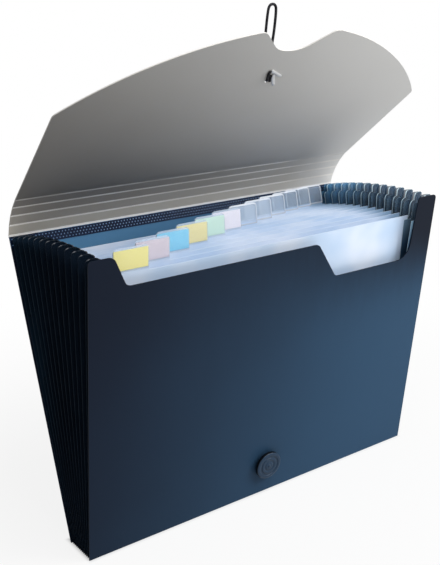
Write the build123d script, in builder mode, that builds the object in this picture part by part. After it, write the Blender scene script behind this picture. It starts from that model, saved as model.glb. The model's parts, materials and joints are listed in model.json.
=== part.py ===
from build123d import *
import os
from math import cos, hypot, radians, sin, tan

# Accordion file folder, open and standing on its base.
# X runs across the covers, the front cover faces -Y, and the floor is z = 0.
# Sheets are counted from the front: 0 is the front cover, then the dividers, and the last is the back cover.

# Covers
cover_width = 330.0
cover_height = 242.0
cover_thickness = 0.9
base_depth = 31.0
front_lean = 9.0
back_lean = 15.0

# Top edge of the front cover: two ears, a shallow notch and a deeper one on the right
left_ear_width = 19.0
left_ear_foot = 29.0
right_ear_width = 21.0
right_ear_foot = 24.0
notch_depth = 23.0
deep_notch_depth = 54.0
step_top_x = 35.5
step_foot_x = 57.0
ear_tip_radius = 3.0
notch_corner_radius = 6.0
deep_notch_radius = 14.0

# Pockets and dividers
pocket_count = 13
divider_thickness = 0.35
divider_drop = 18.0
divider_overlap = 1.5
divider_corner_radius = 1.0

# Index tabs, their clear sleeves and the paper labels
tab_width = 28.0
tab_height = 19.0
tab_corner_radius = 3.0
tab_margin = 3.0
tab_foot_radius = 0.8
sleeve_thickness = 0.3
sleeve_foot = 1.5
sleeve_seam = 1.2
label_count = 6
label_thickness = 0.25
label_clearance = 0.15
label_side_gap = 0.5
label_seam_gap = 0.3

# Pleated gusset of each pocket
pleat_thickness = 0.35
pleat_edge_inset = 0.5
pleat_side_depth = 21.5
pleat_bottom_depth = 17.0
pleat_crease_half = 0.25
pleat_seam = 3.0
pleat_clearance = 0.25
pleat_fin_drop = 0.5
pleat_fin_width = 11.0
pleat_step_drop = 6.2
pleat_step_width = 6.0
pleat_seam_drop = 3.0
pleat_corner_radius = 3.0

# Flap: bands between scored creases, then the panel
flap_thickness = 0.8
crease_gap = 0.7
band_length = 9.15
band_leans = (20.0, 30.0, 38.0, 45.0)
panel_lean = 50.0
panel_side = 101.0
panel_reach = 173.6
shoulder_x = 100.0
shoulder_s = 150.5
lobe_x = 32.0
lobe_s = 174.4
lobe_radius = 8.0
panel_corner_radius = 6.0
thumb_notch_s = 154.0
thumb_notch_half = 10.0
thumb_notch_radius = 22.0

# Seam strip along the inside top of the back cover
strip_height = 8.0
strip_thickness = 0.5
strip_drop = 0.6

# Button on the front cover
button_height = 29.0
button_radius = 12.2
button_neck_radius = 5.0
button_neck_length = 3.0
button_rim_thickness = 3.0
button_ring_width = 2.0
button_ring_depth = 0.5
button_edge = 0.7
button_shaft_radius = 3.0
button_shaft_clearance = 0.1
washer_radius = 7.0
washer_thickness = 1.0

# Elastic loop and its metal barbs
cord_diameter = 2.0
cord_sides = 8
cord_spread = 1.15
cord_hole_s = 121.3
cord_hole_radius = 2.6
cord_face_gap = 0.1
cord_stub = 4.5
cord_rise_lean = 12.0
cord_arc_share = 0.45
barb_length = 15.0
barb_width = 2.4
barb_thickness = 1.0
barb_face_gap = 0.05
barb_places = ((-3.1, 133.2, -30.0), (0.6, 127.9, -58.0))

os.makedirs("parts", exist_ok=True)

half_width = cover_width / 2
flap_half = flap_thickness / 2


def save(piece, name):
    """Label a finished piece and write it to its own file."""
    piece.part.label = name
    export_step(piece.part, f"parts/{name}.step")


# The origin is under the middle of the whole outline, so the base stands a little behind or before it
flap_root_y = base_depth / 2 + (cover_height + crease_gap) * sin(radians(back_lean))
bands_forward = sum(band_length * sin(radians(lean)) for lean in band_leans)
panel_forward = panel_reach * sin(radians(panel_lean)) + flap_half * cos(radians(panel_lean))
front_reach = flap_root_y - bands_forward - panel_forward
back_reach = (
    base_depth / 2
    + cover_height * sin(radians(back_lean))
    + cover_thickness / 2 * cos(radians(back_lean))
)
base_mid_y = -(front_reach + back_reach) / 2


def lean_of(sheet):
    """Backward lean of a sheet in degrees. Half counts lie midway in a pocket."""
    return -front_lean + (front_lean + back_lean) * sheet / pocket_count


def base_y(sheet):
    """Where the middle of a sheet meets the floor."""
    return base_mid_y + base_depth * (sheet / pocket_count - 0.5)


def sheet_y(sheet, z):
    """Where the middle of a sheet is at height z."""
    return base_y(sheet) + z * tan(radians(lean_of(sheet)))


def sheet_plane(sheet):
    """Middle of a sheet: local x across, local y up the sheet, local z to the front."""
    lean = radians(lean_of(sheet))
    return Plane(origin=(0, base_y(sheet), 0), x_dir=(1, 0, 0), z_dir=(0, -cos(lean), sin(lean)))


def half_thickness(sheet):
    """Half the thickness of a cover or a divider."""
    return (cover_thickness if sheet in (0, pocket_count) else divider_thickness) / 2


# Front cover: its foot is cut level with the floor
front_plane = sheet_plane(0)
below_floor = 2 * cover_thickness
button_hole_radius = button_shaft_radius + button_shaft_clearance
front_outline = (
    (-half_width, -below_floor),
    (half_width, -below_floor),
    (half_width, cover_height),
    (half_width - right_ear_width, cover_height),
    (half_width - right_ear_foot, cover_height - deep_notch_depth),
    (step_foot_x, cover_height - deep_notch_depth),
    (step_top_x, cover_height - notch_depth),
    (left_ear_foot - half_width, cover_height - notch_depth),
    (left_ear_width - half_width, cover_height),
    (-half_width, cover_height),
)
front_radii = (
    0,
    0,
    ear_tip_radius,
    ear_tip_radius,
    deep_notch_radius,
    notch_corner_radius,
    notch_corner_radius,
    notch_corner_radius,
    notch_corner_radius,
    ear_tip_radius,
)
with BuildPart() as front_cover:
    with BuildSketch(front_plane):
        with BuildLine():
            FilletPolyline(*front_outline, radius=front_radii, close=True)
        make_face()
        with Locations((0, button_height)):
            Circle(button_hole_radius, mode=Mode.SUBTRACT)
    extrude(amount=cover_thickness / 2, both=True)
    split(bisect_by=Plane.XY, keep=Keep.TOP)
save(front_cover, "front_cover")

# Back cover: full height, square top
back_plane = sheet_plane(pocket_count)
with BuildPart() as back_cover:
    with BuildSketch(back_plane):
        with Locations((0, -below_floor)):
            Rectangle(cover_width, cover_height + below_floor, align=(Align.CENTER, Align.MIN))
    extrude(amount=cover_thickness / 2, both=True)
    split(bisect_by=Plane.XY, keep=Keep.TOP)
save(back_cover, "back_cover")

# Seam strip, lying on the inner face of the back cover
with BuildPart() as weld_strip:
    with BuildSketch(back_plane.offset(cover_thickness / 2)):
        with Locations((0, cover_height - strip_drop)):
            Rectangle(cover_width, strip_height, align=(Align.CENTER, Align.MAX))
    extrude(amount=strip_thickness)
save(weld_strip, "weld_strip")

# Dividers: each sheet has a tab in its own place, with a flat sleeve that is open at both sides
divider_count = pocket_count - 1
divider_height = cover_height - divider_drop
inner_x = half_width - pleat_edge_inset - pleat_side_depth
inner_z = pleat_edge_inset + pleat_bottom_depth
divider_half = inner_x + divider_overlap
tab_top = divider_height + tab_height
tab_pitch = (2 * (divider_half - tab_margin) - tab_width) / (divider_count - 1)
slot_depth = label_thickness + 2 * label_clearance
slot_low = divider_height + sleeve_foot + sleeve_seam
slot_high = tab_top - sleeve_seam


def tab_left(divider):
    """Left edge of a divider's tab. The tabs step from left at the front to right at the back."""
    return tab_margin - divider_half + tab_pitch * (divider - 1)


for divider in range(1, divider_count + 1):
    left = tab_left(divider)
    right = left + tab_width
    divider_foot = (inner_z - divider_overlap) / cos(radians(lean_of(divider)))
    outline = (
        (-divider_half, divider_foot),
        (divider_half, divider_foot),
        (divider_half, divider_height),
        (right, divider_height),
        (right, tab_top),
        (left, tab_top),
        (left, divider_height),
        (-divider_half, divider_height),
    )
    sheet_corners = (divider_corner_radius,) * 3
    tab_corners = (tab_foot_radius, tab_corner_radius, tab_corner_radius, tab_foot_radius)
    sleeve_outline = (
        (left, divider_height + sleeve_foot),
        (right, divider_height + sleeve_foot),
        (right, tab_top),
        (left, tab_top),
    )
    plane = sheet_plane(divider)
    front_face = plane.offset(divider_thickness / 2)
    with BuildPart() as divider_sheet:
        with BuildSketch(plane):
            with BuildLine():
                FilletPolyline(
                    *outline,
                    radius=sheet_corners + tab_corners + (divider_corner_radius,),
                    close=True,
                )
            make_face()
        extrude(amount=divider_thickness / 2, both=True)
        with BuildSketch(front_face):
            with BuildLine():
                FilletPolyline(
                    *sleeve_outline,
                    radius=(0, 0, tab_corner_radius, tab_corner_radius),
                    close=True,
                )
            make_face()
        extrude(amount=slot_depth + sleeve_thickness)
        with BuildSketch(front_face):
            with Locations(((left + right) / 2, (slot_low + slot_high) / 2)):
                Rectangle(2 * tab_width, slot_high - slot_low)
        extrude(amount=slot_depth, mode=Mode.SUBTRACT)
    save(divider_sheet, f"divider_{divider:02d}")

# Paper labels in the first sleeves
label_width = tab_width - 2 * label_side_gap
label_height = slot_high - slot_low - 2 * label_seam_gap
for label in range(1, label_count + 1):
    label_plane = sheet_plane(label).offset(divider_thickness / 2 + label_clearance)
    with BuildPart() as paper_label:
        with BuildSketch(label_plane):
            with Locations((tab_left(label) + tab_width / 2, (slot_low + slot_high) / 2)):
                Rectangle(label_width, label_height)
        extrude(amount=label_thickness)
    save(paper_label, f"label_{label}")

# Pleated gussets: one V-folded sheet goes down the left side, under the pocket and up the right side.
# The left half is a straight trough cut on the mitre, and a side that runs up from it; the right mirrors it.
# At the top a tall fin steps down to a lower one and then to the seams.
mitre_drop = pleat_bottom_depth / pleat_side_depth
pleat_fin_height = cover_height - pleat_fin_drop
pleat_seam_height = divider_height - pleat_seam_drop


def pleat_section(pocket, z_at_crease, run, drop):
    """Corners of a pleat's V section. u runs outward from the inner crease, by run sideways and drop down."""
    ahead = pocket - 1
    behind = pocket
    middle = pocket - 0.5
    depth = pleat_side_depth
    rear = -half_thickness(behind) - pleat_clearance
    front = half_thickness(ahead) + pleat_clearance
    mouth = sheet_y(behind, z_at_crease) + rear - sheet_y(ahead, z_at_crease) - front
    fold_u = depth * (mouth / 2 - pleat_thickness) / (mouth / 2 - pleat_crease_half)

    def place(u, sheet, shift):
        return (u * hypot(run, drop), sheet_y(sheet, z_at_crease - drop * u) + shift)

    return (
        place(-pleat_seam, behind, rear),
        place(0, behind, rear),
        place(depth, middle, pleat_crease_half),
        place(depth, middle, -pleat_crease_half),
        place(0, ahead, front),
        place(-pleat_seam, ahead, front),
        place(-pleat_seam, ahead, front + pleat_thickness),
        place(0, ahead, front + pleat_thickness),
        place(fold_u, middle, 0),
        place(0, behind, rear - pleat_thickness),
        place(-pleat_seam, behind, rear - pleat_thickness),
    )


fin_corners = (pleat_corner_radius,) * 2
step_corners = (0, pleat_corner_radius, 0)
for pocket in range(1, pocket_count + 1):
    upright = cos(radians(lean_of(pocket - 0.5)))
    fin_z = pleat_fin_height * upright
    step_z = (pleat_fin_height - pleat_step_drop) * upright
    seam_z = pleat_seam_height * upright
    fin_x = half_width - pleat_edge_inset - pleat_fin_width
    step_x = fin_x - pleat_step_width
    top_z = fin_z + pleat_corner_radius
    side_top = Plane((-inner_x, 0, top_z), (-1, 0, 0), (0, 0, -1))
    mitre = Plane((-inner_x, 0, inner_z), (-1, 0, -mitre_drop), (mitre_drop, 0, -1))
    bottom = Plane((0, 0, inner_z), (0, 0, -1), (1, 0, 0))
    side_sections = ((side_top, top_z, 0), (mitre, inner_z, mitre_drop))
    with BuildPart() as pleat:
        with BuildSketch(bottom):
            with BuildLine():
                Polyline(*pleat_section(pocket, inner_z, 0, mitre_drop), close=True)
            make_face()
        extrude(amount=-half_width)
        split(bisect_by=mitre, keep=Keep.TOP)
        for plane, z_at_crease, drop in side_sections:
            with BuildSketch(plane):
                with BuildLine():
                    Polyline(*pleat_section(pocket, z_at_crease, 1, drop), close=True)
                make_face()
        loft(ruled=True)
        mirror(about=Plane.YZ)
        with BuildSketch(Plane.XZ.offset(-cover_height)):
            with BuildLine():
                FilletPolyline(
                    (-half_width, -pleat_edge_inset),
                    (half_width, -pleat_edge_inset),
                    (half_width, fin_z),
                    (fin_x, fin_z),
                    (fin_x, step_z),
                    (step_x, step_z),
                    (step_x, seam_z),
                    (-step_x, seam_z),
                    (-step_x, step_z),
                    (-fin_x, step_z),
                    (-fin_x, fin_z),
                    (-half_width, fin_z),
                    radius=(0, 0) + fin_corners + step_corners + step_corners[::-1] + fin_corners,
                    close=True,
                )
            make_face()
        extrude(amount=2 * cover_height, mode=Mode.INTERSECT)
    save(pleat, f"pleat_{pocket:02d}")

# Flap: each crease is a round bead on the upper sheet's edge, turning just above the lower sheet's edge


def flap_direction(lean):
    """Up along a sheet of the flap that leans forward."""
    return Vector(0, -sin(radians(lean)), cos(radians(lean)))


def flap_plane(crease, lean):
    """A flap sheet: local x across, local y away from the crease, local z to the inner face."""
    return Plane(
        origin=crease, x_dir=(1, 0, 0), z_dir=(0, -cos(radians(lean)), -sin(radians(lean)))
    )


creases = [back_plane.from_local_coords(Vector(0, cover_height + crease_gap, 0))]
for lean in band_leans:
    creases.append(creases[-1] + flap_direction(lean) * band_length)


def bead_plane(crease):
    """Square to a crease, for the round edge that a flap sheet turns on."""
    return Plane(origin=crease, x_dir=(0, 1, 0), z_dir=(1, 0, 0))


for band, lean in enumerate(band_leans, start=1):
    crease = creases[band - 1]
    with BuildPart() as flap_band:
        with BuildSketch(flap_plane(crease, lean)):
            Rectangle(cover_width, band_length - crease_gap, align=(Align.CENTER, Align.MIN))
        extrude(amount=flap_half, both=True)
        with BuildSketch(bead_plane(crease)):
            Circle(flap_half)
        extrude(amount=half_width, both=True)
    save(flap_band, f"flap_band_{band}")

panel_plane = flap_plane(creases[-1], panel_lean)


def corner_pair(sketch, x, y):
    """A corner of a sketch and its mirror image."""
    return [v for v in sketch.vertices() if hypot(abs(v.X) - x, v.Y - y) < flap_thickness]


with BuildPart() as flap_panel:
    with BuildSketch(panel_plane) as panel_outline:
        with BuildLine():
            Polyline((0, 0), (half_width, 0), (half_width, panel_side))
            ThreePointArc((half_width, panel_side), (shoulder_x, shoulder_s), (lobe_x, lobe_s))
            Polyline((lobe_x, lobe_s), (thumb_notch_half, thumb_notch_s), (0, thumb_notch_s))
            mirror(about=Plane.YZ)
        make_face()
        fillet(corner_pair(panel_outline, half_width, panel_side), panel_corner_radius)
        fillet(corner_pair(panel_outline, lobe_x, lobe_s), lobe_radius)
        fillet(corner_pair(panel_outline, thumb_notch_half, thumb_notch_s), thumb_notch_radius)
        with Locations((0, cord_hole_s)):
            Circle(cord_hole_radius, mode=Mode.SUBTRACT)
    extrude(amount=flap_half, both=True)
    with BuildSketch(bead_plane(creases[-1])):
        Circle(flap_half)
    extrude(amount=half_width, both=True)
save(flap_panel, "flap_panel")

# Button: a ringed disc on a neck, and a shaft through the cover into a washer inside
button_plane = Plane(
    origin=front_plane.from_local_coords(Vector(0, button_height, cover_thickness / 2)),
    x_dir=(1, 0, 0),
    z_dir=front_plane.z_dir,
)
button_face = button_neck_length + button_rim_thickness
with BuildPart() as closure_button:
    with BuildSketch(Plane(origin=button_plane.origin, x_dir=(1, 0, 0), z_dir=-front_plane.y_dir)):
        with BuildLine():
            Polyline(
                (0, -cover_thickness - washer_thickness),
                (button_shaft_radius, -cover_thickness - washer_thickness),
                (button_shaft_radius, 0),
                (button_neck_radius, 0),
                (button_neck_radius, button_neck_length),
                (button_radius, button_neck_length),
                (button_radius, button_face),
                (button_radius - button_ring_width, button_face),
                (button_radius - button_ring_width, button_face - button_ring_depth),
                (button_radius - 2 * button_ring_width, button_face - button_ring_depth),
                (button_radius - 2 * button_ring_width, button_face),
                (button_radius - 3 * button_ring_width, button_face),
                (button_radius - 3 * button_ring_width, button_face - button_ring_depth),
                (0, button_face - button_ring_depth),
                close=True,
            )
        make_face()
    revolve(axis=Axis(button_plane.origin, front_plane.z_dir))
    rim = closure_button.edges().filter_by(GeomType.CIRCLE).filter_by(
        lambda edge: abs(edge.radius - button_radius) < button_edge / 10
    )
    chamfer(rim, button_edge)
save(closure_button, "closure_button")

with BuildPart() as button_washer:
    with BuildSketch(front_plane.offset(-cover_thickness / 2)):
        with Locations((0, button_height)):
            Circle(washer_radius)
            Circle(button_hole_radius, mode=Mode.SUBTRACT)
    extrude(amount=-washer_thickness)
save(button_washer, "button_washer")

# Elastic loop: both strands come through one hole and stand up behind the flap as a narrow loop.
# Points of the free loop are (x, distance along the rise).
face_w = flap_half + cord_face_gap + cord_diameter / 2
rise_turn = radians(panel_lean - cord_rise_lean)
left_rise = ((-2.4, 13.0), (-3.6, 27.0), (-3.8, 42.0), (-3.2, 50.5))
right_rise = ((3.2, 50.5), (4.0, 42.0), (3.8, 27.0), (2.3, 13.0))


def rise_point(x, along):
    """A point of the loop in the panel's own axes."""
    return (x, cord_hole_s + along * cos(rise_turn), -cord_stub - along * sin(rise_turn))


cord_route = [
    (-5.4, cord_hole_s + 12.1, face_w),
    (-5.2, cord_hole_s + 7.7, face_w),
    (-cord_spread, cord_hole_s, face_w),
    (-cord_spread, cord_hole_s, -cord_stub),
    *[rise_point(x, along) for x, along in left_rise + right_rise],
    (cord_spread, cord_hole_s, -cord_stub),
    (cord_spread, cord_hole_s, face_w),
    (-1.3, cord_hole_s + 5.1, face_w),
    (-1.9, cord_hole_s + 7.3, face_w),
]
cord_points = [panel_plane.from_local_coords(Vector(*point)) for point in cord_route]
cord_radii = []
for before, corner, after in zip(cord_points, cord_points[1:], cord_points[2:]):
    run_in = corner - before
    run_out = after - corner
    half_turn = radians(run_in.get_angle(run_out) / 2)
    cord_radii.append(cord_arc_share * min(run_in.length, run_out.length) / tan(half_turn))
print("elastic loop radii, mm:", [round(radius, 1) for radius in cord_radii])

with BuildPart() as elastic_loop:
    with BuildLine() as cord_line:
        FilletPolyline(*cord_points, radius=cord_radii)
    with BuildSketch(Plane(origin=cord_line.line @ 0, z_dir=cord_line.line % 0)):
        RegularPolygon(cord_diameter / 2, cord_sides)
    sweep()
print("elastic loop length, mm:", round(cord_line.wire().length, 1))
save(elastic_loop, "elastic_loop")

# Metal barbs on the cord's ends, lying on the inner face of the flap
with BuildPart() as cord_barbs:
    for x, s, turn in barb_places:
        with BuildSketch(panel_plane.offset(flap_half + barb_face_gap)):
            with Locations(Location((x, s), turn)):
                with Locations((barb_length / 2 - barb_width / 2, 0)):
                    SlotOverall(barb_length, barb_width)
        extrude(amount=barb_thickness)
save(cord_barbs, "cord_barbs")
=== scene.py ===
import json
from math import cos, pi, radians, sin, sqrt, tan

import bmesh
import bpy
from mathutils import Matrix, Vector


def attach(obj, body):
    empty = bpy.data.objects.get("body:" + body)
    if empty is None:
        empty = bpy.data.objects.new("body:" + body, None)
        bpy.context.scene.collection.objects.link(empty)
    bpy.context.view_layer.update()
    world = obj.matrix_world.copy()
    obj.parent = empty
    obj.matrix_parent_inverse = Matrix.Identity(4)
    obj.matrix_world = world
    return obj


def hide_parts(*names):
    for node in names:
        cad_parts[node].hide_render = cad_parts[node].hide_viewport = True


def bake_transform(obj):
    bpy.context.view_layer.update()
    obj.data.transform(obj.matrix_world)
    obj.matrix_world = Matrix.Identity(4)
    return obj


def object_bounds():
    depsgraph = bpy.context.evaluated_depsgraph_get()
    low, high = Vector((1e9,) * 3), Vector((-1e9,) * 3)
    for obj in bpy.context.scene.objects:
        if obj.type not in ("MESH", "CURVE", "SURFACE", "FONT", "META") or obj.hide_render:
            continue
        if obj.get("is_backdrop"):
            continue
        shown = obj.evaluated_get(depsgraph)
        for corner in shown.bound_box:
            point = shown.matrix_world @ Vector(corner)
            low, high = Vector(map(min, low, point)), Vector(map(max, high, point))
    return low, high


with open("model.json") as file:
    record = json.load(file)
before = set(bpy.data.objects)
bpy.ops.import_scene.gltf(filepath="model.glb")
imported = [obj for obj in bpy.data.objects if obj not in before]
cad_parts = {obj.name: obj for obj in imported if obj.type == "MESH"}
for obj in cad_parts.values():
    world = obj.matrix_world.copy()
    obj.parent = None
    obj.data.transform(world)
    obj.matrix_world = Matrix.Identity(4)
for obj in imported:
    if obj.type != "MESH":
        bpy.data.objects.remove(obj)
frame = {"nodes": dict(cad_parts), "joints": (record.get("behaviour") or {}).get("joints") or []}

cad_low, cad_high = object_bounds()


# Back cover. A die-cut sheet of navy polypropylene, full height and square at the top.
# It stands on its lower edge and leans back, and carries the flap's seam and the last pleat.
# The extruded sheet has a fine satin grain, and its cut edges are darker than its faces.
MM = 0.001
POCKETS = 13
FRONT_LEAN, BACK_LEAN = radians(-9.0), radians(15.0)
COVER_HALF = 0.45 * MM
RIGHTWARD, REARWARD, UPWARD = (1.0, 0.0, 0.0), (0.0, 1.0, 0.0), (0.0, 0.0, 1.0)
POLYPROPYLENE_IOR = 1.49
BUMP_DEPTH = 0.2 * MM
PAINTED_LIGHT_WAY, PAINTED_LIGHT_SPAN = (1.0, 0.0, -0.4), (-0.24, 0.16)
STREAK_STRETCH, STREAK_DEPTH = (260.0, 260.0, 3.0), 0.12
WELD_FADE, TOP_SHADE_SPAN = 4.0 * MM, (0.12, 0.245)
TOP_SHADE_LEFT, TOP_SHADE_RIGHT = 0.55, 1.1
joints = {joint["name"]: joint for joint in frame["joints"]}
first_fold = joints["pocket_01_fold"]["pos_m"][1]
fold_pitch = (joints["pocket_13_fold"]["pos_m"][1] - first_fold) / (POCKETS - 1)


def lean_of(sheet):
    """How far a sheet leans back: sheet 0 is the front cover and sheet 13 the back cover."""
    return FRONT_LEAN + (BACK_LEAN - FRONT_LEAN) * sheet / POCKETS


def base_y(sheet):
    """Depth of a sheet's lower edge."""
    return first_fold + fold_pitch * (sheet - 0.5)


def on_sheet(sheet, x, up, out=0.0):
    """A point x across a sheet, up from its lower edge and out from its middle towards the front."""
    lean = lean_of(sheet)
    y = base_y(sheet) + up * sin(lean) - out * cos(lean)
    return Vector((x, y, up * cos(lean) + out * sin(lean)))


def facing(sheet):
    """The way that a sheet's front face looks."""
    return (0.0, -cos(lean_of(sheet)), sin(lean_of(sheet)))


def tint(code):
    """A colour as it looks on a screen, in the linear values that a shader takes."""
    parts = [int(code[i:i + 2], 16) / 255 for i in (0, 2, 4)]
    return (*[((v + 0.055) / 1.055) ** 2.4 if v > 0.04 else v / 12.92 for v in parts], 1.0)


class Signal:
    """A socket in a material. Sums on signals add Math nodes, and node() adds any other."""

    def __init__(self, socket):
        self.socket = socket

    def node(self, kind, settings=None, sockets=None, out=0):
        """Adds a node: its settings first, then the values or links of its sockets."""
        tree = self.socket.id_data
        made = tree.nodes.new(kind)
        for name, value in (settings or {}).items():
            setattr(made, name, value)
        for name, value in (sockets or {}).items():
            if isinstance(value, Signal):
                tree.links.new(value.socket, made.inputs[name])
            else:
                made.inputs[name].default_value = value
        return Signal(made.outputs[out])

    def math(self, operation, first, second):
        return self.node("ShaderNodeMath", {"operation": operation}, {0: first, 1: second})

    def __add__(self, other):
        return self.math("ADD", self, other)

    __radd__ = __add__

    def __rsub__(self, other):
        return self.math("SUBTRACT", other, self)

    def __mul__(self, other):
        return self.math("MULTIPLY", self, other)

    __rmul__ = __mul__


def ramp(signal, low, high, first=0.0, last=1.0):
    """A smooth step of a signal from one value to another."""
    sockets = {"Value": signal, "From Min": low, "From Max": high, "To Min": first, "To Max": last}
    return signal.node("ShaderNodeMapRange", {"interpolation_type": "SMOOTHSTEP"}, sockets)


def mixed(mask, first, second):
    """One colour where the mask is 0 and another where it is 1."""
    return mask.node("ShaderNodeMix", {"data_type": "RGBA"}, {0: mask, 6: first, 7: second}, 2)


def along(vector, direction):
    """How far a vector reaches in a direction."""
    sockets = {0: vector, 1: direction}
    return vector.node("ShaderNodeVectorMath", {"operation": "DOT_PRODUCT"}, sockets, 1)


def stretched(vector, factors):
    """A vector with each of its parts multiplied."""
    return vector.node("ShaderNodeVectorMath", {"operation": "MULTIPLY"}, {0: vector, 1: factors})


def length(vector):
    return vector.node("ShaderNodeVectorMath", {"operation": "LENGTH"}, {0: vector}, 1)


def noise(place, scale, detail=2.0):
    return place.node("ShaderNodeTexNoise", None, {"Vector": place, "Scale": scale, "Detail": detail})


def finish(name, **constants):
    """A material with constant shader values. Gives it and the place of each point of the surface."""
    material = bpy.data.materials.new(name)
    material.use_nodes = True
    shader = material.node_tree.nodes["Principled BSDF"]
    for socket, value in constants.items():
        shader.inputs[socket.replace("_", " ")].default_value = value
    return material, Signal(shader.outputs[0]).node("ShaderNodeTexCoord", out="Object")


def own_normal(place):
    """The way that each point of the surface looks."""
    return place.node("ShaderNodeTexCoord", out="Normal")


def feed(material, **signals):
    """Links signals to the sockets of a material's shader."""
    shader = material.node_tree.nodes["Principled BSDF"]
    for socket, signal in signals.items():
        material.node_tree.links.new(signal.socket, shader.inputs[socket.replace("_", " ")])


def bumped(height, strength):
    """A fine relief from a height."""
    sockets = {"Strength": strength, "Distance": BUMP_DEPTH, "Height": height}
    return height.node("ShaderNodeBump", None, sockets)


def grained(place, strength, scale=1400.0):
    """The fine grain of extruded sheet, as a bump."""
    return bumped(noise(place, scale, 3.0), strength)


def cover_finish(name, sheet, front, rear, edge, welded, crown):
    """Satin sheet whose tones for the left and right of each face are painted light, darker on its cut
    edges, with painted shade past its side welds and towards its top as far as crown says."""
    material, place = finish(name, Specular_IOR_Level=0.08, IOR=POLYPROPYLENE_IOR)
    cloud = noise(place, 9.0)
    streak = noise(stretched(place, STREAK_STRETCH), 1.0)
    # Painted light: each face shades across from its left tone to its right tone.
    across = ramp(along(place, PAINTED_LIGHT_WAY) + 0.06 * cloud, *PAINTED_LIGHT_SPAN)
    turned = along(own_normal(place), facing(sheet))
    ahead = ramp(turned, -0.2, 0.2)
    # Painted light: each face has its own pair of tones, so a cover's inner face can be painted paler.
    tone = mixed(ahead, mixed(across, *map(tint, rear)), mixed(across, *map(tint, front)))
    cut = 1.0 - ramp(turned * turned, 0.15, 0.55)
    sideways = along(place, RIGHTWARD)
    # Painted shade on the inner face past the side welds, where the pleats lie over it.
    side = ahead * ramp(sideways * sideways, (welded - WELD_FADE) ** 2, welded ** 2)
    # Painted shade towards the top, stronger to the right.
    top = ramp(along(place, UPWARD), *TOP_SHADE_SPAN)
    painted_top_shade = crown * top * (TOP_SHADE_LEFT + TOP_SHADE_RIGHT * across * across)
    streaks_edges_and_painted_shade = ramp(cut + side + painted_top_shade + STREAK_DEPTH * streak, 0.0, 1.0)
    feed(material, Base_Color=mixed(streaks_edges_and_painted_shade, tone, tint(edge)), Roughness=0.34 + 0.16 * cloud,
         Normal=grained(place, 0.12))
    return material


def dress(node, material):
    """Gives a CAD node a material and shows it as it is."""
    shown = frame["nodes"][node]
    for slot in shown.material_slots:
        slot.material = material


# Painted light: the inner face is pale blue on the left, darkening to navy on the right, as light
# through the sheet.
dress("back_cover", cover_finish(
    "navy_back", POCKETS, front=("5486ad", "21486a"), rear=("1f2a40", "2a4360"), edge="172032",
    welded=0.143, crown=0.0,
))


# Weld strip. A thin navy strip across the top of the back cover's inside, over the flap's lower edge.
# It is welded by a knurled tool, which leaves three staggered rows of small raised dots.
STRIP_LOW, STRIP_HIGH, STRIP_THICK = 233.4 * MM, 241.4 * MM, 0.5 * MM
DOT_ROWS, DOT_SIDES = 3, 8
DOT_PITCH, DOT_FOOT, DOT_TOP = 2.8 * MM, 0.6 * MM, 0.36 * MM
DOT_RISE, DOT_SINK = 0.4 * MM, 0.1 * MM
FIRST_DOT, STAGGER, FIRST_ROW, SPARE_ROW = 0.6, 0.5, 0.75, 0.5
SMOOTH_TO = 35.0
half_width = cad_high.x


def mottled(place, scale, first, second):
    """Two tones in soft patches."""
    return mixed(noise(place, scale), tint(first), tint(second))


def varied(place, scale, least, spread):
    """A value that varies in soft patches."""
    return least + spread * noise(place, scale)


def add_piece(name, points, faces, slots, *materials, smooth=SMOOTH_TO):
    """A mesh in the row frame, closed and facing outward, smooth up to an angle."""
    mesh = bpy.data.meshes.new(name)
    mesh.from_pydata(points, [], faces)
    for material in materials:
        mesh.materials.append(material)
    mesh.polygons.foreach_set("material_index", slots)
    work = bmesh.new()
    work.from_mesh(mesh)
    bmesh.ops.recalc_face_normals(work, faces=work.faces)
    work.to_mesh(mesh)
    work.free()
    mesh.shade_smooth()
    mesh.set_sharp_from_angle(angle=radians(smooth))
    made = bpy.data.objects.new(name, mesh)
    bpy.context.scene.collection.objects.link(made)
    return made


def slab(front, back, rim_columns=0, rim_rows=0):
    """A thin closed sheet between two grids. Its narrow edges take slot 1, and so does a rim of so many
    cells."""
    columns, rows = len(front), len(front[0])
    count = columns * rows
    points = [point for grid in (front, back) for column in grid for point in column]
    faces, slots = [], []
    for c in range(columns - 1):
        for r in range(rows - 1):
            quad = [c * rows + r, (c + 1) * rows + r, (c + 1) * rows + r + 1, c * rows + r + 1]
            faces += [quad, [count + v for v in reversed(quad)]]
            in_rim = min(c, columns - 2 - c) < rim_columns or min(r, rows - 2 - r) < rim_rows
            slots += [int(in_rim)] * 2
    loop = [c * rows for c in range(columns)] + [(columns - 1) * rows + r for r in range(1, rows)]
    loop += [c * rows + rows - 1 for c in range(columns - 2, -1, -1)] + list(range(rows - 2, 0, -1))
    for a, b in zip(loop, loop[1:] + loop[:1]):
        faces.append([b, a, count + a, count + b])
        slots.append(1)
    return points, faces, slots


def spaced(low, high, count):
    """Evenly spaced values, both ends among them."""
    return [low + (high - low) * i / (count - 1) for i in range(count)]


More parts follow.
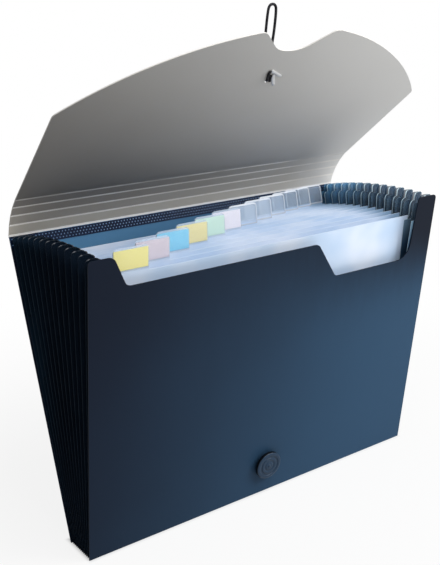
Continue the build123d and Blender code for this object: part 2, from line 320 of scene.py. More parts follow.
strip_back, strip_face = COVER_HALF, COVER_HALF + STRIP_THICK
strip_ends, strip_rows = (-half_width, half_width), (STRIP_LOW, STRIP_HIGH)
points, faces, slots = slab(
    [[on_sheet(POCKETS, x, up, strip_face) for up in strip_rows] for x in strip_ends],
    [[on_sheet(POCKETS, x, up, strip_back) for up in strip_rows] for x in strip_ends],
)
for row in range(DOT_ROWS):
    up = STRIP_LOW + (row + FIRST_ROW) * (STRIP_HIGH - STRIP_LOW) / (DOT_ROWS + SPARE_ROW)
    x = -half_width + DOT_PITCH * (FIRST_DOT + STAGGER * (row % 2))
    while x < half_width - DOT_FOOT:
        first = len(points)
        for radius, out in ((DOT_FOOT, strip_face - DOT_SINK), (DOT_TOP, strip_face + DOT_RISE)):
            for k in range(DOT_SIDES):
                turn = 2 * pi * k / DOT_SIDES
                points.append(on_sheet(POCKETS, x + radius * cos(turn), up + radius * sin(turn), out))
        ring = list(range(DOT_SIDES))
        faces += [[first + k for k in ring], [first + DOT_SIDES + k for k in ring]]
        faces += [[first + k, first + (k + 1) % DOT_SIDES, first + DOT_SIDES + (k + 1) % DOT_SIDES,
                   first + DOT_SIDES + k] for k in ring]
        slots += [1] * (DOT_SIDES + 2)
        x += DOT_PITCH
strip_finish, place = finish("seam_navy", Specular_IOR_Level=0.1)
feed(strip_finish, Base_Color=mottled(place, 60.0, "071630", "0c2342"),
     Roughness=varied(place, 400.0, 0.3, 0.2))
# The raised dots are painted a pale steel blue: a painted highlight on their tops.
dot_highlight_finish, place = finish("seam_dots", Specular_IOR_Level=0.4)
feed(dot_highlight_finish, Base_Color=mottled(place, 700.0, "4f7aaa", "7fa3cc"),
     Roughness=varied(place, 400.0, 0.3, 0.2))
strip = add_piece("weld_strip_knurled", points, faces, slots, strip_finish, dot_highlight_finish)
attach(strip, "back_cover")
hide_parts("weld_strip")


# Pleats. One film for each pocket, folded to a V, that runs down the left side, along the bottom and
# up the right side. Its flanges are welded to the sheets before and behind it.
# The film is thin smoky navy polypropylene: one layer lets light through, and many look almost black.
FILM, SEAM_GAP, FOLD_HALF = 0.35 * MM, 0.25 * MM, 0.25 * MM
INNER_X, SIDE_DEPTH = 143.0 * MM, 21.5 * MM
INNER_Z, TROUGH_DEPTH = 17.5 * MM, 17.0 * MM
FIN_TOP, STEP_TOP, SEAM_TOP = 241.5 * MM, 235.3 * MM, 221.0 * MM
FIN_U, STEP_U, FIN_ROUND, STEP_ROUND = 10.5 * MM, 4.5 * MM, 3.0 * MM, 4.0 * MM
DIVIDER_HALF = 0.175 * MM
INNER_FOLD_SHORT = 0.07
BEND_UP, BEND_REACH = 120.0 * MM, 5.5 * MM
LEG_COLUMNS = [u * MM for u in (
    -3.0, 0.0, 2.5, 4.4, 4.5, 4.8, 5.6, 6.8, 8.5, 10.4,
    10.5, 10.8, 11.6, 13.5, 16.0, 18.5, 20.4, 21.2, 21.5,
)]
SIDE_ROWS, TROUGH_ROWS = 10, 4
RIGHT_SPAN, HIGH_SPAN = (-0.1, 0.13), (0.195, 0.222)
REAR_SPAN, SEAM_LIGHT_SPAN = (0.01, 0.05), (0.153, 0.144)
FILM_ALPHA, FILM_BACKLIGHT_CLEARING = 0.94, 0.38


def rounded(inset, radius):
    """How far a rounded corner falls short of a square one, at an inset from its side."""
    return radius - sqrt(max(0.0, radius ** 2 - max(0.0, radius - inset) ** 2))


def fin_top(u):
    """Height of the film's top edge: a low seam, a rounded step and then the tall fin."""
    if u < STEP_U:
        return SEAM_TOP
    if u < FIN_U:
        return STEP_TOP - rounded(u - STEP_U, STEP_ROUND)
    return FIN_TOP - rounded(min(u - FIN_U, SIDE_DEPTH - u), FIN_ROUND)


def body_name(sheet):
    return {0: "front_cover", POCKETS: "back_cover"}.get(sheet, f"divider_{sheet:02d}")


def pleat_leg(pocket, rear, inset):
    """Columns of points on one leg of a pleat, from its flange to its outer fold."""
    sheet = pocket if rear else pocket - 1
    side = 1 if rear else -1
    half = COVER_HALF if sheet in (0, POCKETS) else DIVIDER_HALF
    middle = pocket - 0.5
    upright = cos(lean_of(middle))
    fold_gap = 0.0 if inset else FOLD_HALF
    fold_u = SIDE_DEPTH - (SIDE_DEPTH * INNER_FOLD_SHORT if inset else 0.0)

    def leg_point(x, z, share):
        """A point on the leg, at a share of the way from its seam to its fold."""
        seam = base_y(sheet) + z * tan(lean_of(sheet)) - side * (half + SEAM_GAP + inset)
        fold = base_y(middle) + z * tan(lean_of(middle)) + side * fold_gap
        return Vector((x, seam + (fold - seam) * share, z))

    columns = []
    for u in LEG_COLUMNS:
        share = max(0.0, u) / SIDE_DEPTH
        u_here = share * fold_u if u > 0 else u
        edge_x = INNER_X + u_here
        mitre_z = INNER_Z - TROUGH_DEPTH / SIDE_DEPTH * u_here
        top_z = fin_top(u) * upright
        heights = [top_z + (mitre_z - top_z) * f for f in spaced(0.0, 1.0, SIDE_ROWS)]
        column = [leg_point(-edge_x, z, share) for z in heights]
        column += [leg_point(x, mitre_z, share) for x in spaced(-edge_x, edge_x, TROUGH_ROWS)[1:-1]]
        column += [leg_point(edge_x, z, share) for z in reversed(heights)]
        columns.append(column)
    return columns


film_finish, place = finish("pleat_film", Specular_IOR_Level=0.02)
sideways = along(place, RIGHTWARD)
right, high = ramp(sideways, *RIGHT_SPAN), ramp(along(place, UPWARD), *HIGH_SPAN)
# Painted light and shade: the film is near black on the left, lighter and bluer to the right and rear.
lit_tone = mixed(ramp(along(place, REARWARD), *REAR_SPAN), tint("324e69"), tint("4f86b0"))
painted_film_light = mixed(right + 0.12 * noise(place, 14.0), tint("0c121b"), lit_tone)
# Painted light by the seam at the upper right, where the film is also made clearer, as if lit from
# behind.
painted_seam_light = ramp(sideways, *SEAM_LIGHT_SPAN) * right * high
feed(film_finish, Base_Color=mixed(painted_seam_light, painted_film_light, tint("7595ad")),
     Roughness=varied(place, 30.0, 0.3, 0.2), Alpha=FILM_ALPHA - FILM_BACKLIGHT_CLEARING * right * high)
# The cut edges are painted dark on the left and pale on the right: painted light.
film_edge, place = finish("pleat_film_edge", Specular_IOR_Level=0.5, Roughness=0.4)
right = ramp(along(place, RIGHTWARD), *RIGHT_SPAN)
feed(film_edge, Base_Color=mixed(right, tint("121a24"), tint("b4c9d2")))

for pocket in range(1, POCKETS + 1):
    outer = pleat_leg(pocket, True, 0.0) + pleat_leg(pocket, False, 0.0)[::-1]
    inner = pleat_leg(pocket, True, FILM) + pleat_leg(pocket, False, FILM)[::-1]
    pleat = add_piece(f"pleat_{pocket:02d}_film", *slab(outer, inner), film_finish, film_edge)
    middle = on_sheet(pocket - 0.5, 0.0, BEND_UP)
    reach = Vector(facing(pocket - 0.5)) * BEND_REACH
    middle - reach
    middle + reach
    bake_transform(pleat)
    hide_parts(f"pleat_{pocket:02d}")


# Dividers. Twelve frosted polypropylene sheets part the pockets and are welded to the pleats at the
# sides. Each has an index tab in its own place, with a clear sleeve welded over it at top and bottom.
# The sheets bow a little towards the front, and their cut edges gather light.
DIVIDERS = POCKETS - 1
LABELLED = 6
DIVIDER_LOW, DIVIDER_HIGH, DIVIDER_SIDE = 16.0 * MM, 224.0 * MM, 144.5 * MM
TAB_WIDTH, TAB_TOP, TAB_MARGIN, TAB_ROUND = 28.0 * MM, 243.0 * MM, 3.0 * MM, 3.0 * MM
TAB_CLEAR, TAB_FLANK, TAB_SLACK = 1.0 * MM, 0.05 * MM, 1e-9
ROUND_SHARES = (0.0, 0.08, 0.3, 0.6, 1.0)
SLEEVE_LOW, SLEEVE_FILM, SLEEVE_ROOM = 225.5 * MM, 0.3 * MM, 0.55 * MM
SLEEVE_SLOPE, SLEEVE_ROWS, SLEEVE_RIM = 7.0, 15, (2, 1)
BOW, LABELLED_BOW, BOW_POWER = 1.1 * MM, 0.4 * MM, 1.5
BOW_MEAN, BOW_SPREAD, BOW_BEAT = 0.8, 0.2, 1.7
SHEET_ROWS, SHEET_STEPS = 14, 22
SHADE_SIDE_SPAN, SHADE_BEHIND_SPAN, SHADE_DEPTH = (0.112, 0.144), (-0.039, -0.033), 0.75
TAB_SPAN, CLEAR_SPAN = (0.2265, 0.2305), (0.03, 0.1)
TAB_CLEARNESS, TAB_CLEARER = 0.6, 0.25
tab_pitch = (2 * (DIVIDER_SIDE - TAB_MARGIN) - TAB_WIDTH) / (DIVIDERS - 1)


def tab_left(sheet):
    return TAB_MARGIN - DIVIDER_SIDE + tab_pitch * (sheet - 1)


def sheet_top(sheet, x):
    """Height of a divider's top edge, which rises to a rounded tab."""
    left, right = tab_left(sheet), tab_left(sheet) + TAB_WIDTH
    if left - TAB_SLACK <= x <= right + TAB_SLACK:
        return TAB_TOP - rounded(min(x - left, right - x), TAB_ROUND)
    return DIVIDER_HIGH


def sleeve_out(up):
    """How far a sleeve stands out from its divider's middle: it is welded at top and bottom."""
    share = (up - SLEEVE_LOW) / (TAB_TOP - SLEEVE_LOW)
    lift = max(0.0, min(1.0, SLEEVE_SLOPE * share, SLEEVE_SLOPE * (1.0 - share)))
    return DIVIDER_HALF + 0.5 * SLEEVE_FILM + SLEEVE_ROOM * sin(0.5 * pi * lift)


def bowed(sheet, x, up, out):
    """A point on a divider, which bows towards the front at the middle of its top."""
    share = max(0.0, (up - DIVIDER_LOW) / (DIVIDER_HIGH - DIVIDER_LOW))
    most = LABELLED_BOW if sheet <= LABELLED else BOW
    own = most * (BOW_MEAN + BOW_SPREAD * sin(BOW_BEAT * sheet))
    return on_sheet(sheet, x, up, out + own * cos(0.5 * pi * x / DIVIDER_SIDE) * share ** BOW_POWER)


def leaf(sheet, columns, low, top, rows, middle, thick, *rim):
    """A thin sheet on a divider: columns across, each up to its own top, out from the sheet's middle."""
    grids = []
    for out in (0.5 * thick, -0.5 * thick):
        grids.append([[bowed(sheet, x, up, middle(up) + out) for up in spaced(low, top(x), rows)]
                      for x in columns])
    return slab(*grids, *rim)


frost, place = finish("frosted_sheet", Specular_IOR_Level=0.3, IOR=POLYPROPYLENE_IOR)
sideways = along(place, RIGHTWARD)
cloud = noise(place, 22.0)
frost_tone = mixed(ramp(cloud, 0.3, 0.75), tint("bcd2ec"), tint("dde7f6"))
# Painted shade: the dividers behind the first are painted darker and bluer towards their right ends.
painted_right_shade = ramp(sideways, *SHADE_SIDE_SPAN) * ramp(along(place, REARWARD), *SHADE_BEHIND_SPAN)
frost_tone = mixed(SHADE_DEPTH * painted_right_shade, frost_tone, tint("7fa8cb"))
tab = ramp(length(stretched(place, (0.0, 1.0, 1.0))), *TAB_SPAN)
clearer = ramp(sideways, *CLEAR_SPAN)
tab_tone = mixed(clearer, tint("cfe4fa"), tint("9cc4ea"))
feed(frost, Base_Color=mixed(tab, frost_tone, tab_tone), Roughness=0.42 + 0.15 * cloud,
     Normal=grained(place, 0.08), Alpha=1.0 - tab * (TAB_CLEARNESS + TAB_CLEARER * clearer))
frost_edge, place = finish("frosted_edge", Specular_IOR_Level=0.5, Roughness=0.3)
feed(frost_edge, Base_Color=mottled(place, 30.0, "c9daf2", "f6f9ff"))
sleeve_finish, place = finish("clear_sleeve", Specular_IOR_Level=0.5, Alpha=0.08)
feed(sleeve_finish, Base_Color=mottled(place, 30.0, "dde9f8", "f8fbff"),
     Roughness=varied(place, 90.0, 0.12, 0.1))
sleeve_rim, place = finish("sleeve_rim", Specular_IOR_Level=0.5, Alpha=0.5)
feed(sleeve_rim, Base_Color=mottled(place, 30.0, "dbe9fb", "ffffff"),
     Roughness=varied(place, 90.0, 0.2, 0.1))

for sheet in range(1, DIVIDERS + 1):
    left, right = tab_left(sheet), tab_left(sheet) + TAB_WIDTH
    insets = [TAB_ROUND * s for s in ROUND_SHARES]
    tab_columns = [left + s for s in insets] + [(left + right) / 2]
    tab_columns += [right - s for s in reversed(insets)]
    even = spaced(-DIVIDER_SIDE, DIVIDER_SIDE, SHEET_STEPS)
    plain = [x for x in even if not left - TAB_CLEAR < x < right + TAB_CLEAR]
    columns = sorted(plain + [left - TAB_FLANK, right + TAB_FLANK] + tab_columns)

    def own_top(x):
        return sheet_top(sheet, x)

    sheet_piece = add_piece(
        f"divider_{sheet:02d}_sheet",
        *leaf(sheet, columns, DIVIDER_LOW, own_top, SHEET_ROWS, lambda up: 0.0, 2 * DIVIDER_HALF),
        frost, frost_edge,
    )
    sleeve = add_piece(
        f"divider_{sheet:02d}_sleeve",
        *leaf(sheet, tab_columns, SLEEVE_LOW, own_top, SLEEVE_ROWS, sleeve_out, SLEEVE_FILM,
              *SLEEVE_RIM),
        sleeve_finish, sleeve_rim if sheet > LABELLED else sleeve_finish,
    )
    for piece in (sheet_piece, sleeve):
        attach(piece, body_name(sheet))
    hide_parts(f"divider_{sheet:02d}")


# Labels. Six cut paper inserts in the sleeves of the first six tabs, each of its own colour and blank.
# They lie loose in the sleeves and slide out sideways. The paper is matt, with a faint fibre.
LABEL_WIDTH, LABEL_LOW, LABEL_HIGH = 27.0 * MM, 227.0 * MM, 241.5 * MM
LABEL_THICK, LABEL_GAP = 0.25 * MM, 0.15 * MM
LABEL_COLUMNS, LABEL_ROWS = 9, 5
LABELS = (
    ("yellow_paper", "eae07e", "efe793"),
    ("lilac_paper", "cfc4d0", "dad0da"),
    ("blue_paper", "6ecaee", "84d5f3"),
    ("cream_paper", "e9dd95", "efe6ad"),
    ("green_paper", "c6e9d8", "d4f0e3"),
    ("white_paper", "ebe8f4", "f5f3fb"),
)
label_out = DIVIDER_HALF + LABEL_GAP + 0.5 * LABEL_THICK
for sheet, (slot_name, shade, light) in enumerate(LABELS, 1):
    paper, place = finish(slot_name, Specular_IOR_Level=0.15)
    fibre = noise(place, 500.0, 4.0)
    feed(paper, Base_Color=mixed(fibre, tint(shade), tint(light)), Roughness=0.75 + 0.2 * fibre,
         Normal=grained(place, 0.15, 900.0))
    left = tab_left(sheet) + 0.5 * (TAB_WIDTH - LABEL_WIDTH)
    label_columns = spaced(left, left + LABEL_WIDTH, LABEL_COLUMNS)
    label = add_piece(
        f"label_{sheet}_paper",
        *leaf(sheet, label_columns, LABEL_LOW, lambda x: LABEL_HIGH, LABEL_ROWS, lambda up: label_out,
              LABEL_THICK),
        paper, paper,
    )
    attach(label, f"label_{sheet}")
    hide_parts(f"label_{sheet}")


# Front cover. The same navy sheet as the back cover, with a shallow finger notch across its top and a
# deeper one at the right that shows the first divider. It is welded to the first pleat at its sides.
# Painted light and shade: the outer face is darker on the left, lighter on the right and darker towards
# its top.
dress("front_cover", cover_finish(
    "navy_sheet", 0, front=("121a29", "2f4c67"), rear=("1f2a40", "2a4360"), edge="121926",
    welded=0.2, crown=0.75,
))


# Closure button. An injection-moulded navy disc on a short neck, with concentric rings on its face.
# Its shaft goes through the cover into a press-on washer inside. The elastic hooks round the neck.
# Its outline is turned about the shaft: pairs of a radius and a height over the cover, in millimetres.
BUTTON_UP, BUTTON_SIDES, BUTTON_SMOOTH = 29.0 * MM, 72, 50.0
MERGE = 1e-6
SHAFT = ((0.0, -1.9), (3.0, -1.9), (3.0, 0.0))
NECK = ((5.6, 0.0), (5.15, 0.3), (5.0, 0.8), (5.0, 1.9), (5.3, 2.25), (5.9, 2.4))
DISC = ((11.4, 2.45), (11.9, 2.65), (12.2, 3.1), (12.2, 5.1), (12.0, 5.6), (11.5, 5.9), (10.9, 6.0))
OUTER_GROOVE = (
    (9.6, 6.0), (9.3, 5.9), (9.1, 5.55), (8.7, 5.5), (7.9, 5.5), (7.6, 5.55), (7.4, 5.9), (7.1, 6.0),
)
INNER_GROOVE = ((5.6, 6.0), (5.3, 5.9), (5.1, 5.6), (4.8, 5.55), (4.0, 5.55), (3.7, 5.65), (3.5, 5.95))
CENTRE = ((3.0, 6.05), (1.5, 6.05), (1.3, 6.3), (0.8, 6.55), (0.0, 6.65))
PROFILE = SHAFT + NECK + DISC + OUTER_GROOVE + INNER_GROOVE + CENTRE
points, faces = [], []
for radius, tall in PROFILE:
    for k in range(BUTTON_SIDES):
        turn = 2 * pi * k / BUTTON_SIDES
        x, up = radius * MM * cos(turn), BUTTON_UP + radius * MM * sin(turn)
        points.append(on_sheet(0, x, up, COVER_HALF + tall * MM))
for ring in range(len(PROFILE) - 1):
    for k in range(BUTTON_SIDES):
        a, b = ring * BUTTON_SIDES + k, ring * BUTTON_SIDES + (k + 1) % BUTTON_SIDES
        faces.append([a, b, b + BUTTON_SIDES, a + BUTTON_SIDES])
button_finish, place = finish("button_navy", Specular_IOR_Level=0.2, Coat_Weight=0.04,
                              Coat_Roughness=0.15)
# Painted shade: the disc's side wall and underside, which face away from the front, are painted near
# black.
outward = ramp(along(own_normal(place), facing(0)), 0.2, 0.8)
button_tone = mottled(place, 50.0, "1a2c40", "243c53")
feed(button_finish, Base_Color=mixed(outward, tint("05070c"), button_tone),
     Roughness=varied(place, 300.0, 0.26, 0.14))
button = add_piece("closure_button_rings", points, faces, [0] * len(faces), button_finish,
                   smooth=BUTTON_SMOOTH)
work = bmesh.new()
work.from_mesh(button.data)
bmesh.ops.remove_doubles(work, verts=work.verts, dist=MERGE)
bmesh.ops.recalc_face_normals(work, faces=work.faces)
work.to_mesh(button.data)
work.free()
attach(button, "front_cover")
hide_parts("closure_button")
dress("button_washer", button_finish)


# Flap. Smoke grey polypropylene, one sheet with four scored bands and a large panel with two lobes and
# a thumb notch. It is welded to the back cover's top edge and bends at the scored creases.
# The scores are stretched thin, so they are paler, partly as a painted highlight, and the lowest is
# almost white.
FLAP_HALF = 0.4 * MM
BAND_LEANS = [radians(a) for a in (20.0, 30.0, 38.0, 45.0, 50.0)]
BAND_PAINTED_SHADES = ("bdb8ae", "aca79f", "9d9891", "8e8a85")
FLAP_LIGHT_WAY, LIFT_ACROSS, LIFT_UP, LIFT_DEPTH = (1.3, -0.8, 0.4), (0.1, 0.155), (0.33, 0.27), 0.9
PANEL_CREASE, PANEL_LEAN = 5, BAND_LEANS[4]
TWIST, TWIST_FROM, CUT_STEP, CUTS = 0.07, 20.0 * MM, 12.0 * MM, 14
FLAT_TO = 0.5
SCORES = ("f4f1ee", "ece8e1", "e6e2db", "e0dcd5", "bab6b0")
CREASE_HALF, FIRST_WIDER, SCORE_INSET, SCORE_REACH = 0.8 * MM, 1.4, 0.2 * MM, 0.5 * MM
SCORE_EDGE, SCORE_SHOULDER, SCORE_CROWN = 0.42 * MM, 0.52 * MM, 0.56 * MM


def smoke(name, lean, low, high, span):
    """Smoky sheet with painted light: it pales from one tone to another along the flap and is painted
    paler where its lower right corner turns to the light, with a fine grain and pale cut edges."""
    material, place = finish(name, Specular_IOR_Level=0.3, IOR=POLYPROPYLENE_IOR)
    turned = along(own_normal(place), (0.0, -cos(lean), -sin(lean)))
    cut = ramp(turned * turned, 0.5, 0.2)
    cloud = noise(place, 8.0)
    # Painted light: paler towards the right, the front and the top.
    reach = ramp(along(place, FLAP_LIGHT_WAY) + 0.05 * cloud, *span)
    painted_lit_corner = ramp(along(place, RIGHTWARD), *LIFT_ACROSS) * ramp(along(place, UPWARD), *LIFT_UP)
    tone = mixed(LIFT_DEPTH * painted_lit_corner, mixed(reach, tint(low), tint(high)), tint("e8e7e4"))
    feed(material, Base_Color=mixed(0.7 * cut, tone, tint("efece6")), Roughness=0.4 + 0.12 * cloud,
         Normal=grained(place, 0.06))
    return material


def flap_point(crease, lean, x, s, w):
    """A point on a flap sheet: x across, s up from its crease and w out from its middle, inward."""
    y, z = joints[f"flap_crease_{crease}"]["pos_m"][1:]
    return Vector((x, y - s * sin(lean) - w * cos(lean), z + s * cos(lean) - w * sin(lean)))


panel_foot = flap_point(PANEL_CREASE, PANEL_LEAN, 0.0, 0.0, 0.0)
panel_up = flap_point(PANEL_CREASE, PANEL_LEAN, 0.0, 1.0, 0.0) - panel_foot
panel_in = flap_point(PANEL_CREASE, PANEL_LEAN, 0.0, 0.0, 1.0) - panel_foot
work = bmesh.new()
work.from_mesh(frame["nodes"]["flap_panel"].data)
bmesh.ops.remove_doubles(work, verts=work.verts, dist=MERGE)
bmesh.ops.dissolve_limit(work, angle_limit=radians(FLAT_TO), verts=work.verts, edges=work.edges)
for cut in range(1, CUTS + 1):
    for spot, way in ((Vector((TWIST_FROM + cut * CUT_STEP, 0.0, 0.0)), Vector(RIGHTWARD)),
                      (panel_foot + panel_up * cut * CUT_STEP, panel_up)):
        whole = work.verts[:] + work.edges[:] + work.faces[:]
        bmesh.ops.bisect_plane(work, geom=whole, dist=MERGE, plane_co=spot, plane_no=way)
for vert in work.verts:
    share = max(0.0, vert.co.x - TWIST_FROM) / (half_width - TWIST_FROM)
    vert.co += panel_in * TWIST * max(0.0, (vert.co - panel_foot).dot(panel_up)) * share ** 2
twisted = bpy.data.meshes.new("flap_panel_sheet")
work.to_mesh(twisted)
work.free()
twisted.materials.clear()
# Painted light: the panel goes from dark grey at its lower left to pale grey at its upper right.
twisted.materials.append(smoke("smoke_flap", PANEL_LEAN, "7a7773", "e0dfdc", (-0.14, 0.46)))
twisted.shade_smooth()
twisted.set_sharp_from_angle(angle=radians(SMOOTH_TO))
panel = bpy.data.objects.new("flap_panel_sheet", twisted)
bpy.context.scene.collection.objects.link(panel)
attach(panel, "flap_panel")
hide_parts("flap_panel")
# Painted shade: each band is painted darker the higher it lies, and paler along its length as painted
# light.
for band, (lean, shade) in enumerate(zip(BAND_LEANS, BAND_PAINTED_SHADES), 1):
    dress(f"flap_band_{band}", smoke(f"smoke_band_{band}", lean, shade, "e6e2da", (-0.1, 0.45)))

# Painted shade: the score strips are painted darker the higher they lie.
for crease, shade in enumerate(SCORES, 1):
    below = -BACK_LEAN if crease == 1 else BAND_LEANS[crease - 2]
    above = BAND_LEANS[crease - 1]
    bend = 0.5 * (below + above)
    half = FIRST_WIDER * CREASE_HALF if crease == 1 else CREASE_HALF
    flank = [(below, -half, SCORE_EDGE), (below, -0.5 * half, SCORE_SHOULDER), (bend, 0.0, SCORE_CROWN),
             (above, 0.5 * half, SCORE_SHOULDER), (above, half, SCORE_EDGE)]
    section = [(lean, s, side * w) for side in (1, -1) for lean, s, w in flank[::side]]
    ends = (-half_width + SCORE_INSET, half_width - SCORE_INSET)
    points = [flap_point(crease, lean, x, s, w) for x in ends for lean, s, w in section]
    count = len(section)
    faces = [[k, (k + 1) % count, count + (k + 1) % count, count + k] for k in range(count)]
    faces += [list(range(count)), list(range(count, 2 * count))]
    score, place = finish(f"score_{crease}", Specular_IOR_Level=0.5, Roughness=0.3)
    feed(score, Base_Color=mixed(ramp(noise(place, 25.0), 0.3, 0.7), tint(shade), tint("fbf8f2")))
    fold = add_piece(f"flap_score_{crease}", points, faces, [0] * len(faces), score)
    start, end = [flap_point(crease, bend, 0.0, s, 0.0) for s in (-SCORE_REACH, SCORE_REACH)]
    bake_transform(fold)


# Elastic loop. A round black braided elastic cord, doubled through a punched hole in the panel, with
# both ends held on the inner face. The loop stands up behind the panel and stretches over the button.
# Its points are in millimetres: across the panel, up from its crease and out from its middle, inward.
CORD, HOLE_S, SPREAD = 2.0 * MM, 121.3, 1.15
FACE_W, STUB_W, RISE = 1.5, -4.5, radians(38.0)
left_rise = ((-2.4, 13.0), (-3.6, 27.0), (-3.8, 42.0), (-3.2, 50.5))
right_rise = ((3.2, 50.5), (4.0, 42.0), (3.8, 27.0), (2.3, 13.0))


def on_panel(x, s, w):
    """A point on the panel, from millimetres."""
    return flap_point(PANEL_CREASE, PANEL_LEAN, x * MM, s * MM, w * MM)


def rise_point(x, up):
    """A point of the free loop, x across and so far up along its rise."""
    return (x, HOLE_S + up * cos(RISE), STUB_W - up * sin(RISE))


route = [on_panel(*point) for point in (
    (-5.4, HOLE_S + 12.1, FACE_W),
    (-5.2, HOLE_S + 7.7, FACE_W),
    (-SPREAD, HOLE_S, FACE_W),
    (-SPREAD, HOLE_S, STUB_W),
    *[rise_point(x, up) for x, up in left_rise + right_rise],
    (SPREAD, HOLE_S, STUB_W),
    (SPREAD, HOLE_S, FACE_W),
    (-1.3, HOLE_S + 5.1, FACE_W),
    (-1.9, HOLE_S + 7.3, FACE_W),
)]
curve = bpy.data.curves.new("elastic_cord", "CURVE")
curve.dimensions = "3D"
curve.bevel_depth = 0.5 * CORD
curve.bevel_resolution = 4
curve.use_fill_caps = True
spline = curve.splines.new("NURBS")
spline.points.add(len(route) - 1)
for point, spot in zip(spline.points, route):
    point.co = (*spot, 1.0)
spline.order_u = 3
spline.use_endpoint_u = True
spline.resolution_u = 8
elastic_finish, place = finish("black_elastic", Specular_IOR_Level=0.25)
weave = place.node("ShaderNodeTexWave", {"bands_direction": "DIAGONAL"},
                   {"Vector": place, "Scale": 320.0, "Distortion": 2.0}, 1)
feed(elastic_finish, Base_Color=mixed(weave, tint("0d0d10"), tint("2a2a30")),
     Roughness=0.6 + 0.2 * weave, Normal=bumped(weave, 0.4))
curve.materials.append(elastic_finish)
elastic = bpy.data.objects.new("elastic_cord", curve)
bpy.context.scene.collection.objects.link(elastic)
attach(elastic, "flap_panel")
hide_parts("elastic_loop")


# Barbs. Two pressed steel bars crimped on the cord's ends, too long to be pulled through the hole.
# They lie flat on the panel's inner face, ribbed where the crimping tool has bitten.
# Their sizes are in millimetres, as the cord's points are.
BAR_LENGTH, BAR_HALF, BAR_THICK, BAR_GAP = 15.0, 1.2, 1.0, 0.05
BAR_PLACES = ((-3.1, 133.2, radians(-30.0)), (0.6, 127.9, radians(-58.0)))
BAR_STEPS, BAR_ROWS = 53, 9
END_ROUND, SIDE_FALL = 0.75, 0.35
BITE, BITE_PITCH, BITE_FROM, BITE_TO = 0.22, 1.6, 2.0, 12.0
bar_foot = FLAP_HALF / MM + BAR_GAP
barb_finish, place = finish("barb_steel", Metallic=0.8)
feed(barb_finish, Base_Color=mottled(place, 300.0, "cfd0d1", "f2f2f2"),
     Roughness=varied(place, 500.0, 0.3, 0.2))
for number, (x, s, turn) in enumerate(BAR_PLACES, 1):
    top, foot = [], []
    for reach in spaced(0.0, BAR_LENGTH, BAR_STEPS):
        out = reach - BAR_HALF
        half = BAR_HALF - rounded(min(reach, BAR_LENGTH - reach), BAR_HALF) * END_ROUND
        bitten = BITE_FROM < reach < BITE_TO
        bite = BITE * max(0.0, sin(2 * pi * reach / BITE_PITCH)) if bitten else 0.0
        top_column, foot_column = [], []
        for across in spaced(-1.0, 1.0, BAR_ROWS):
            wide = x + out * cos(turn) - across * half * sin(turn)
            tall = s + out * sin(turn) + across * half * cos(turn)
            crown = BAR_THICK * (1.0 - SIDE_FALL * across ** 4) - bite * (1.0 - across ** 4)
            top_column.append(on_panel(wide, tall, bar_foot + crown))
            foot_column.append(on_panel(wide, tall, bar_foot))
        top.append(top_column)
        foot.append(foot_column)
    barb = add_piece(f"cord_barb_{number}", *slab(top, foot), barb_finish, barb_finish)
    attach(barb, "flap_panel")
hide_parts("cord_barbs")


# Studio. A white floor and white surroundings, with a soft light at the front right and another above.
# The floor glows to the camera, less so near the folder, so that a faint shadow is left round its base.
# It doesn't glow under the folder, where its light would show through the folds.
WHITE = (1.0, 1.0, 1.0, 1.0)
FLOOR_GREY, ROOM_GREY = (0.8, 0.8, 0.8, 1.0), (0.3, 0.3, 0.3, 1.0)
FLOOR_HALF, FLOOR_CORNERS = 6.0, ((-1, -1), (1, -1), (1, 1), (-1, 1))
GLOW_SPAN, NEAR_GLOW, FAR_GLOW = (0.15, 0.65), 0.86, 1.0
BASE_WIDE, BASE_DEEP = (0.16, 0.168), (0.014, 0.022)
floor_mesh = bpy.data.meshes.new("floor")
floor_points = [(sx * FLOOR_HALF, sy * FLOOR_HALF, 0.0) for sx, sy in FLOOR_CORNERS]
floor_mesh.from_pydata(floor_points, [], [[0, 1, 2, 3]])
floor_finish, place = finish("floor_white", Base_Color=FLOOR_GREY, Roughness=0.9,
                             Specular_IOR_Level=0.0)
floor_nodes = floor_finish.node_tree.nodes
seen = place.node("ShaderNodeLightPath", out="Is Camera Ray")
glow = place.node("ShaderNodeEmission", None, {"Color": WHITE, "Strength": 1.0})
far = ramp(length(place), *GLOW_SPAN, NEAR_GLOW, FAR_GLOW)
wide, deep = along(place, RIGHTWARD), along(place, REARWARD)
beside = ramp(wide * wide, *[edge ** 2 for edge in BASE_WIDE])
before = ramp(deep * deep, *[edge ** 2 for edge in BASE_DEEP])
open_floor = wide.math("MAXIMUM", beside, before)
plain_floor = Signal(floor_nodes["Principled BSDF"].outputs[0])
lit = place.node("ShaderNodeMixShader", None, {0: far * seen * open_floor, 1: plain_floor, 2: glow})
floor_finish.node_tree.links.new(lit.socket, floor_nodes["Material Output"].inputs["Surface"])
floor_mesh.materials.append(floor_finish)
floor = bpy.data.objects.new("floor", floor_mesh)
bpy.context.scene.collection.objects.link(floor)
floor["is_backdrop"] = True

world = bpy.data.worlds.new("white_room")
bpy.context.scene.world = world
world.use_nodes = True
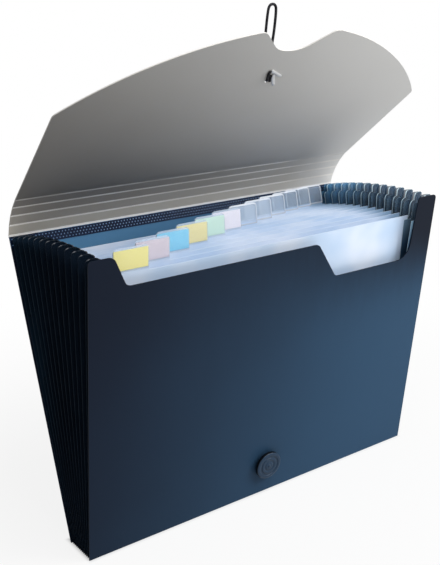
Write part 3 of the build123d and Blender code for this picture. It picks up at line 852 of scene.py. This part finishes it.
background = world.node_tree.nodes["Background"]
sky = Signal(background.outputs[0])
camera_ray = sky.node("ShaderNodeLightPath", out="Is Camera Ray")
glossy_ray = sky.node("ShaderNodeLightPath", out="Is Glossy Ray")
through_ray = sky.node("ShaderNodeLightPath", out="Is Transmission Ray")
clear = sky.math("MINIMUM", camera_ray + glossy_ray + through_ray, 1.0)
world.node_tree.links.new(mixed(clear, ROOM_GREY, WHITE).socket, background.inputs["Color"])


def soft_light(name, spot, aim, size, watts):
    """A square area light at a spot that looks at an aim."""
    lamp = bpy.data.lights.new(name, "AREA")
    lamp.size, lamp.energy = size, watts
    made = bpy.data.objects.new(name, lamp)
    made.location = spot
    made.rotation_euler = (Vector(aim) - Vector(spot)).to_track_quat("-Z", "Y").to_euler()
    bpy.context.scene.collection.objects.link(made)


soft_light("key", spot=(0.9, -0.9, 0.85), aim=(0.05, 0.0, 0.2), size=0.7, watts=11.0)
soft_light("top", spot=(0.15, -0.75, 1.25), aim=(0.0, 0.0, 0.2), size=0.9, watts=11.5)


# Camera. It stands to the front left and above, and looks at the folder with a slight roll.
# Its place, turn and lens are those that were fitted to the corners of the front cover.
EYE = Vector((-0.4041, -0.5443, 0.3761))
YAW, PITCH, ROLL = radians(34.951), radians(15.966), radians(-2.149)
SENSOR, FOCAL = 36.0, 55.18
ahead = Vector((sin(YAW) * cos(PITCH), cos(YAW) * cos(PITCH), -sin(PITCH)))
level = Vector((cos(YAW), -sin(YAW), 0.0))
over = level.cross(ahead)
across = cos(ROLL) * level + sin(ROLL) * over
upward = cos(ROLL) * over - sin(ROLL) * level
lens = bpy.data.cameras.new("camera")
lens.sensor_fit, lens.sensor_height, lens.lens = "VERTICAL", SENSOR, FOCAL
camera = bpy.data.objects.new("camera", lens)
camera.matrix_world = Matrix.Translation(EYE) @ Matrix((across, upward, -ahead)).transposed().to_4x4()
bpy.context.scene.collection.objects.link(camera)
bpy.context.scene.camera = camera
bpy.context.scene.view_settings.view_transform = "Standard"

low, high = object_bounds()
